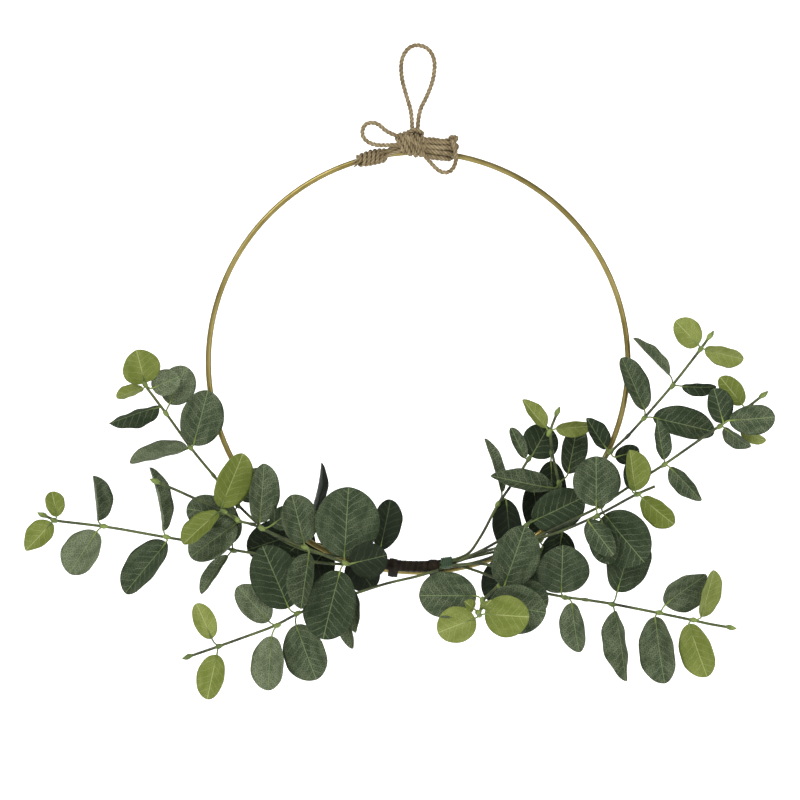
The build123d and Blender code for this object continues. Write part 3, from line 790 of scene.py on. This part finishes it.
def stalkLine(leaf):
    # leaves the collar sideways, bends into the leaf's own direction, and ends as a rib under the blade
    start, along, lift = leaf["joint"], leaf["along"], leaf["normal"]
    foot = leaf["base"]
    gap = np.linalg.norm(foot - start)
    out = unit(foot - start)
    lean = unit(out + stalk["stemLean"] * leaf["stem"] * np.sign(leaf["stem"] @ out + 1e-9))
    a, b = start, start + lean * gap * stalk["startPull"]
    c, d = foot - along * gap * stalk["endPull"], foot + along * stalk["footRun"]
    share = np.linspace(0, 1, stalk["steps"])[:, None]
    rest = 1 - share
    bend = rest ** 3 * a + 3 * rest ** 2 * share * b + 3 * rest * share ** 2 * c + share ** 3 * d
    tail = foot + along * stalk["reach"] - lift * stalk["ribSink"]
    return np.vstack([bend, (d + tail) / 2 - lift * stalk["ribArch"], tail])


def stalkGirth():
    share = np.linspace(0, 1, stalk["steps"])
    radii = [stalk["root"], stalk["waist"], stalk["waist"], stalk["neck"]]
    girth = np.interp(share, [0, 0.25, 0.7, 1], radii)
    return np.concatenate([girth, [stalk["waist"] * 0.6, stalk["tip"]]])


for owner, leaves in stalks.items():
    runs, girths, done = [], [], []
    for leaf in leaves:
        runs.append(stalkLine(leaf))
        girths.append(stalkGirth())
        if all(np.linalg.norm(leaf["joint"] - spot) > 0.001 for spot in done):
            done.append(leaf["joint"])
            runs.append(leaf["joint"] + np.outer(stalk["collarRun"], leaf["stem"]))
            girths.append(np.array(stalk["collarGirth"]))
    piece = strand(camel(owner), runs, 0, stalkSection, 0.0, collarMaterial, girths)
    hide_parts(owner)
    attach(piece, bodyOf[owner])

# a moulded knuckle where each long spray leaves its bunch
for joint in frame["joints"]:
    spray = joint["child"][:-6]
    if spray not in sprayNodes:
        continue
    pivot = np.array(joint["pos_m"], float)
    node = frame["nodes"][spray + "_stem"].data
    points = np.array([v.co for v in node.vertices])
    start = points[np.linalg.norm(points - pivot, axis=1) < stalk["endReach"]].mean(0)
    runs = [pivot + np.outer(stalk["knuckleRun"], unit(start - pivot))]
    girths = [np.array(stalk["knuckleGirth"])]
    piece = strand(camel(spray) + "Knuckle", runs, 0, stalkSection, 0.0, stemMaterial, girths)
    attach(piece, joint["child"])
print("stems and stalks made")

# closed buds: three leaflets wrapped round each other
bud = dict(
    radius=0.0021,
    run=(0, 0.12, 0.3, 0.5, 0.68, 0.84, 0.95, 1.04),
    girth=(0.4, 0.62, 0.92, 1.0, 0.86, 0.58, 0.34, 0.08),
    overrun=1.1, steps=6,
    twist=260.0,  # radians a metre
)
for body, spots in budSpots.items():
    if not spots:
        continue
    stem = body[:-6] + "_stem" if body[:-6] in sprayNodes else "right_bound_stems"
    stemPoints = np.array([v.co for v in frame["nodes"][stem].data.vertices])
    runs, girths = [], []
    for points in spots:
        centre = (points.min(0) + points.max(0)) / 2
        axis = np.linalg.eigh(np.cov((points - centre).T))[1][:, 2]
        reach = np.abs((points - centre) @ axis).max()
        nearest = stemPoints[int(np.argmin(np.linalg.norm(stemPoints - centre, axis=1)))]
        axis = axis * (1 if (centre - nearest) @ axis > 0 else -1)
        line = even(centre + np.outer(np.array([-1.0, bud["overrun"]]) * reach, axis), reach / bud["steps"])
        runs.append(line)
        places = np.linspace(0, bud["run"][-1], len(line))
        girths.append(bud["radius"] * np.interp(places, bud["run"], bud["girth"]))
    piece = strand(camel(body) + "Buds", runs, 0, twineSection, bud["twist"], collarMaterial, girths)
    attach(piece, body)
print("buds made")


# the hoop's own circle, read from the solid model
hoopLow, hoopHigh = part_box("hoop")
wire = (hoopHigh.y - hoopLow.y) / 2
hoop = dict(centre=(hoopLow + hoopHigh) / 2, radius=(hoopHigh.x - hoopLow.x) / 2 - wire)


def onRing(arc, out=0.0, back=0.0, bottom=False):
    # a place so far along the wire to the right of the hoop's top or bottom, out from its line and behind it
    angle = arc / hoop["radius"]
    reach = hoop["radius"] + out
    right, up = reach * math.sin(angle), reach * math.cos(angle) * (-1 if bottom else 1)
    centre = hoop["centre"]
    return np.array([centre.x + right, centre.y + back, centre.z + up])


brass = dict(dark=(0.06, 0.042, 0.012), mid=(0.15, 0.118, 0.036), light=(0.25, 0.205, 0.075))


def brassFinish():
    f = Finish("satinBrass", roughness=0.36, metallic=1.0)
    place = f.place()
    patch = f.noise(place, 26.0, 3.0, 0.6)
    # brushing runs along the wire, so it is narrow across the ring
    flat = f.node("ShaderNodeSeparateXYZ", None, {0: f.vector("SUBTRACT", place, tuple(hoop["centre"]))})
    ring = f.node("ShaderNodeMath", dict(operation="SQRT"), {
        0: flat.port("X") * flat.port("X") + flat.port("Z") * flat.port("Z")})
    turn = f.node("ShaderNodeMath", dict(operation="ARCTAN2"), {0: flat.port("X"), 1: flat.port("Z")})
    brushed = f.noise(f.node("ShaderNodeCombineXYZ", None, {
        0: ring * 5200, 1: turn * 30, 2: flat.port("Y") * 5200}), 1.0, 2.0, 0.6)
    speck = f.noise(place, 620.0, 3.0, 0.7)
    colour = f.mix(f.step(patch, 0.3, 0.7), (*brass["mid"], 1), (*brass["light"], 1))
    colour = f.mix(f.step(speck, 0.6, 0.78, 0.0, 0.7), colour, (*brass["dark"], 1))
    colour = f.mix(f.step(brushed, 0.5, 0.8, 0.0, 0.35), colour, (*brass["dark"], 1))
    return f.wear(colour, patch * 0.12 + brushed * 0.16 + 0.24, brushed, 0.00006, 0.5)


frame["nodes"]["hoop"].data.materials.clear()
frame["nodes"]["hoop"].data.materials.append(brassFinish())
print("hoop finished")

# the tied part of the twine, round the top of the hoop: places in millimetres from the wire's top,
# right, back and up
knot = dict(
    turns=5.2, perTurn=30, middle=(-4.0, -3.0, 5.6), halfLength=9.4, radius=7.4, twineRadius=1.75,
    slant=0.42, narrowing=0.62, stretch=1.06, wobble=0.25, firstAngle=0.6,
    crossing=[(-12, -4.5, 9.5), (-9, -9.0, 10.5), (-5, -12.2, 8.6), (-1, -12.4, 5.2), (3, -10.2, 2.2),
              (5, -6, 0.5)],
    collarLoop=[(-9, -3, 12.5), (-6.5, -8.2, 14.2), (-2.5, -8.6, 15.4), (1.5, -6.6, 14), (3.2, -1, 13),
                (1, 3, 12.4)],
    rightStrands=[
        [(0, -6, 8), (6, -8, 7), (13, -8.6, 6.2), (20, -8.0, 5.9), (24.5, -6.6, 5.6), (27.4, -3.6, 4.4),
         (27, 1.5, 2.6), (20, 3.6, 2.2), (8, 3.8, 3.6), (0, 2, 5)],
        [(1, -7.5, 4.6), (7, -9.3, 3.6), (14, -9.2, 2.6), (21, -8.8, 2.9), (25.2, -7.4, 1.8),
         (26.6, -4.4, -0.6), (24, 0.6, -3.4), (14, 2, -3.4), (5, 1.4, -2.0)],
        [(2, -6.6, 1.6), (8, -8.6, 0.5), (15, -8.6, -0.8), (21, -8.0, -1.4), (24.8, -5.8, -2.6),
         (23.6, -2, -4.6), (16, -0.6, -4.6), (7, -1, -3.4)],
        [(2, -5.4, -1.4), (8, -6.6, -3.0), (14, -6.4, -4.0), (19, -5.4, -4.4), (22.6, -3.4, -5.4)],
        [(-2, -4, 9.6), (4, -5.4, 8.6), (10, -6.2, 8.9), (17, -6, 7.4), (22, -4.6, 8.4), (25.6, -2.6, 7.2)],
        [(2, -4, 3), (9, -6.4, 2.2), (16, -6.2, 1), (22, -5.2, 0.2), (26, -2.8, 1.4)],
        [(1, -4, 6.5), (8, -5.4, 5.2), (15, -6.4, 4.4), (22, -6, 4.2), (25.6, -4, 5.4)],
    ],
    leftStrands=[
        [(-8, -6, 6), (-13, -7.4, 4.8), (-18, -7, 2.4), (-23, -5.2, 0.6), (-27, -3.6, -0.6)],
        [(-8, -6.4, 2.2), (-13, -6.6, 0.9), (-19, -5.8, -1.4), (-24, -3.4, -3.4), (-28, -0.6, -4.6)],
        [(-9, -0.5, 4.8), (-14, 2, 3.6), (-20, 3.2, 1.4), (-27, 2.6, -1.2)],
    ],
    leftWrap=dict(start=-0.0235, end=-0.0425, strands=3, pitch=0.0096, perTurn=28, twineRadius=0.00145,
                  swell=0.0009, wobble=0.00018, stagger=0.0007),
    frays=[  # where each loose end leaves the wrap, and where it stops
        [(-41.5, -4.2, -4.4), (-46.5, -3.4, -7.6)],
        [(-41.9, -1.8, -4.8), (-47.5, -1.2, -9.2)],
        [(-42.3, -4.0, -7.6), (-46.8, -4.6, -9.8)],
        [(-42.7, 1.4, -4.6), (-47.8, 1.6, -8.4)],
        [(-43.1, -2.6, -8.6), (-45.8, -3.0, -11.2)],
    ],
    frayBow=(0.5, -0.5, 0.4), frayRadii=(0.0009, 0.00015),
    endTurn=dict(middle=(24.8, -7.2, 8.6), scale=0.92, depth=1.3, steps=70, twineRadius=1.35),
)
wireTop = np.array([hoop["centre"].x, hoop["centre"].y, hoop["centre"].z + hoop["radius"]])
turnGap = 0.0006


def fromTop(points):
    # places given from the top of the wire, as a smooth line
    return routeLine([tuple(Vector(wireTop) + Vector(point) / 1000) for point in points])


def knotBarrel():
    # close slanting turns round the wire, fatter in the middle
    count = int(knot["turns"] * knot["perTurn"])
    line = []
    for i in range(count + 1):
        share = 2 * i / count - 1
        angle = 2 * math.pi * knot["turns"] * i / count + knot["firstAngle"]
        radius = knot["radius"] * math.sqrt(1 - knot["narrowing"] * share ** 2)
        radius += knot["wobble"] * math.sin(3.7 * angle + 1)
        up = radius * math.cos(angle)
        line.append((knot["middle"][0] + knot["halfLength"] * share - knot["slant"] * up,
                     knot["middle"][1] - radius * math.sin(angle), knot["middle"][2] + knot["stretch"] * up))
    return even(wireTop + np.array(line) / 1000, turnGap)


def wrapTurns(wrap, which):
    # one of the strands that turn together round the wire, thickest near the middle
    count = (wrap["start"] - wrap["end"]) / wrap["pitch"] * wrap["perTurn"]
    line = []
    for i in range(int(count) + 1):
        arc = wrap["start"] - wrap["pitch"] * i / wrap["perTurn"]
        angle = 2 * math.pi * (i / wrap["perTurn"] + which / wrap["strands"])
        fat = math.sin(math.pi * min(1, i / count * 1.1)) ** 0.7
        radius = wire + wrap["twineRadius"] + wrap["swell"] * fat + wrap["wobble"] * math.sin(2.3 * angle)
        arc += wrap["stagger"] * math.sin(angle)
        line.append(onRing(arc, radius * math.cos(angle), -radius * math.sin(angle)))
    return even(line, turnGap)


def trefoil(turn):
    # the simplest knot, drawn tight
    t = 2 * math.pi * np.arange(turn["steps"] + 1) / (turn["steps"] + 1)
    across, up = np.sin(t) + 2 * np.sin(2 * t), np.cos(t) - 2 * np.cos(2 * t)
    spots = np.stack([across, -np.sin(3 * t) * turn["depth"], up], axis=1)
    return wireTop + (np.array(turn["middle"]) + spots * turn["scale"]) / 1000


leftWrap, endTurn = knot["leftWrap"], knot["endTurn"]
thick = knot["twineRadius"] / 1000
knotRuns = [knotBarrel(), fromTop(knot["crossing"]), fromTop(knot["collarLoop"])]
rightRuns = [fromTop(run) for run in knot["rightStrands"]]
leftRuns = [wrapTurns(leftWrap, i) for i in range(leftWrap["strands"])]
leftRuns += [fromTop(run) for run in knot["leftStrands"]]
tied = {
    "bowKnot": (["bow_knot"], knotRuns, thick, 11),
    "twineWrapRight": (["twine_wrap_right"], rightRuns, thick, 13),
    "twineWrapLeft": (["twine_wrap_left"], leftRuns, leftWrap["twineRadius"], 17),
    "endKnot": (["end_knot"], [trefoil(endTurn)], endTurn["twineRadius"] / 1000, 19),
}
for label, (solids, runs, radius, seed) in tied.items():
    piece = strand(label, runs, radius)
    hairs = fibresOn(piece, label + "Fibres", seed, 0.8)
    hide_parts(*solids)
    for made in (piece, hairs):
        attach(made, "hoop")

# the untwisted end of the left wrap
runs, girths = [], []
for index, (start, end) in enumerate(knot["frays"]):
    side = 1 if index % 2 else -1
    middle = [(a + b) / 2 + bow * side for a, b, bow in zip(start, end, knot["frayBow"])]
    line = fromTop([start, middle, end])
    runs.append(line)
    girths.append(np.linspace(*knot["frayRadii"], len(line)))
fray = strand("wrapFray", runs, 0, twineSection, strandTwist * 1.4, juteMaterial, girths)
hairs = fibresOn(fray, "wrapFrayFibres", 23, 2.2, 1.6)
for made in (fray, hairs):
    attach(made, "hoop")
print("knot and wraps made")


# floral tape wound round the stems, bands that tie the bundle on, and the green tie
tape = dict(
    name="floralTape", dark=(0.004, 0.003, 0.002), light=(0.022, 0.015, 0.008),
    width=0.0062, thickness=0.00024, pitch=0.0042, perTurn=36, lift=0.9,
    bandTurns=2.6, bandWidth=0.0042, bandPitch=0.0013, bandStagger=0.0004, bandSwell=0.02, bandRoom=0.0005,
    tieTurns=6, tieRadius=0.00078,
)


def tapeFinish():
    f = Finish(tape["name"], roughness=0.6, Specular_IOR_Level=0.08)
    place = f.place()
    stretched = f.node("ShaderNodeMapping", None, {"Vector": place, "Scale": (2600.0, 500.0, 700.0)})
    crease = f.noise(stretched, 1.0, 3.0, 0.65)
    patch = f.noise(place, 120.0, 2.0)
    colour = f.mix(f.step(crease * 0.6 + patch * 0.5, 0.4, 0.75), (*tape["dark"], 1), (*tape["light"], 1))
    return f.wear(colour, patch * 0.3 + 0.38, crease, 0.0004, 0.9)


tapeMaterial = tapeFinish()


def flatSection(width, thickness):
    # a strip laid with one long edge a little lifted, so that it shows over the turn before
    half, lift, edge = width / 2, thickness * tape["lift"], thickness / 2
    corners = [(edge - lift, -half), (edge + lift, half), (lift - edge, half), (-edge - lift, -half)]
    return section("tapeStrip", corners)


def ringSpan(node):
    # a sleeve along the bottom of the hoop: its section radius, place and end angles
    low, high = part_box(node)
    radius = (high.y - low.y) / 2
    reach = hoop["centre"].z - low.z
    start, end = (math.asin((x - hoop["centre"].x) / reach) * hoop["radius"] for x in (low.x, high.x))
    back = (high.y + low.y) / 2 - hoop["centre"].y
    return dict(radius=radius, back=back, out=reach - radius - hoop["radius"], start=start, end=end)


def sleeveTurns(span, pitch, lift, perTurn):
    # a spiral round the sleeve, with the outward direction at every point
    count = int((span["end"] - span["start"]) / pitch * perTurn)
    line, outward = [], []
    for i in range(count + 1):
        arc = span["start"] + pitch * i / perTurn
        angle = 2 * math.pi * i / perTurn
        radius = span["radius"] + lift
        out, back = radius * math.cos(angle), radius * math.sin(angle)
        core = onRing(arc, span["out"], span["back"], True)
        spot = onRing(arc, span["out"] + out, span["back"] - back, True)
        line.append(spot)
        outward.append(unit(spot - core))
    return np.array(line), np.array(outward)


def strip(name, line, outward, width, material):
    source = lines(name + "Line", [line], girth=[np.ones(len(line))], outward=[outward])
    return grow(source, heldSweep, name, {
        "Section": flatSection(width, tape["thickness"]), "Twist": 0.0, "Material": material})


bundle = ringSpan("bundle_tape")
line, outward = sleeveTurns(bundle, tape["pitch"], 0.0, tape["perTurn"])
winding = strip("bundleTape", line, outward, tape["width"], tapeMaterial)
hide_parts("bundle_tape")
pieces = [(winding, "brown_tape")]


def ovalTurns(node):
    # turns of tape round wire and bundle together, following the band's rounded outline
    low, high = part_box(node)
    sideways = (low.x + high.x) / 2 - hoop["centre"].x
    middle = math.asin(sideways / (hoop["centre"].z - low.z)) * hoop["radius"]
    between = np.array([bundle["out"], bundle["back"]]) / 2
    reach = math.hypot(*between)
    toBundle = between / reach
    acrossIt = np.array([-toBundle[1], toBundle[0]])
    radius = bundle["radius"] + tape["bandRoom"]
    line, outward = [], []
    for i in range(int(tape["perTurn"] * tape["bandTurns"]) + 1):
        turn = i / tape["perTurn"]
        angle = 2 * math.pi * turn
        away = toBundle * math.cos(angle) + acrossIt * math.sin(angle)
        along = math.copysign(reach, math.cos(angle)) * min(1, abs(math.cos(angle)) * 3)
        put = (toBundle * along + away * radius) * (1 + tape["bandSwell"] * turn)
        arc = middle + tape["bandPitch"] * (turn - tape["bandTurns"] / 2)
        arc += tape["bandStagger"] * math.sin(angle)
        spot = onRing(arc, *(between + put), True)
        far = onRing(arc, *(between + put + away), True)
        line.append(spot)
        outward.append(unit(far - spot))
    return np.array(line), np.array(outward)


for node in ("tape_band_left", "tape_band_right"):
    line, outward = ovalTurns(node)
    band = strip(camel(node), line, outward, tape["bandWidth"], tapeMaterial)
    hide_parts(node)
    pieces.append((band, "brown_tape"))

span = ringSpan("stem_tie")
span = dict(span, start=span["start"] + tape["tieRadius"], end=span["end"] - tape["tieRadius"])
tiePitch = (span["end"] - span["start"]) / tape["tieTurns"]
line, outward = sleeveTurns(span, tiePitch, -tape["tieRadius"], tape["perTurn"])
tie = strand("stemTie", [line], tape["tieRadius"], stalkSection, 0.0, tieMaterial)
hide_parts("stem_tie")
pieces.append((tie, "green_tie"))
for piece, slot in pieces:
    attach(piece, "hoop")
print("tape and tie made")




# plain pale floor and backdrop in one sweep, soft light from all round
room = dict(
    skyStrength=0.62, paperColour=(0.95, 0.95, 0.95, 1), paperGlow=0.6, halfWidth=5.0,
    sweep=[(-3.2, -0.62), (2.7, -0.62), (2.95, -0.58), (3.1, -0.47), (3.18, -0.3), (3.2, -0.1), (3.2, 4.0)],
    lamps=[("keyLight", (-0.9, -1.6, 1.1), 40, 1.0), ("fillLight", (1.3, -1.5, 0.1), 15, 1.4)],
    lampAim=(0, 0, -0.25),
)
world = bpy.data.worlds.new("softRoom")
scene.world = world
world.use_nodes = True
world.node_tree.nodes["Background"].inputs[0].default_value = (1, 1, 1, 1)
world.node_tree.nodes["Background"].inputs[1].default_value = room["skyStrength"]
sweep, half = room["sweep"], room["halfWidth"]
mesh = bpy.data.meshes.new("backdrop")
mesh.from_pydata([(x, y, z) for x in (-half, half) for y, z in sweep], [],
                 [(i, i + 1, i + 1 + len(sweep), i + len(sweep)) for i in range(len(sweep) - 1)])
backdrop = link("backdrop", mesh)
paper = Finish("paper", roughness=0.9)
paper.shader["Base Color"].default_value = room["paperColour"]
paper.shader["Emission Color"].default_value = (1, 1, 1, 1)
paper.shader["Emission Strength"].default_value = room["paperGlow"]
mesh.materials.append(paper.material)
for label, spot, power, size in room["lamps"]:
    lamp = bpy.data.lights.new(label, "AREA")
    lamp.energy = power
    lamp.size = size
    holder = link(label, lamp)
    holder.location = spot
    holder.rotation_euler = (Vector(room["lampAim"]) - Vector(spot)).to_track_quat("-Z", "Y").to_euler()
scene.view_settings.view_transform = "Standard"
print("room set")
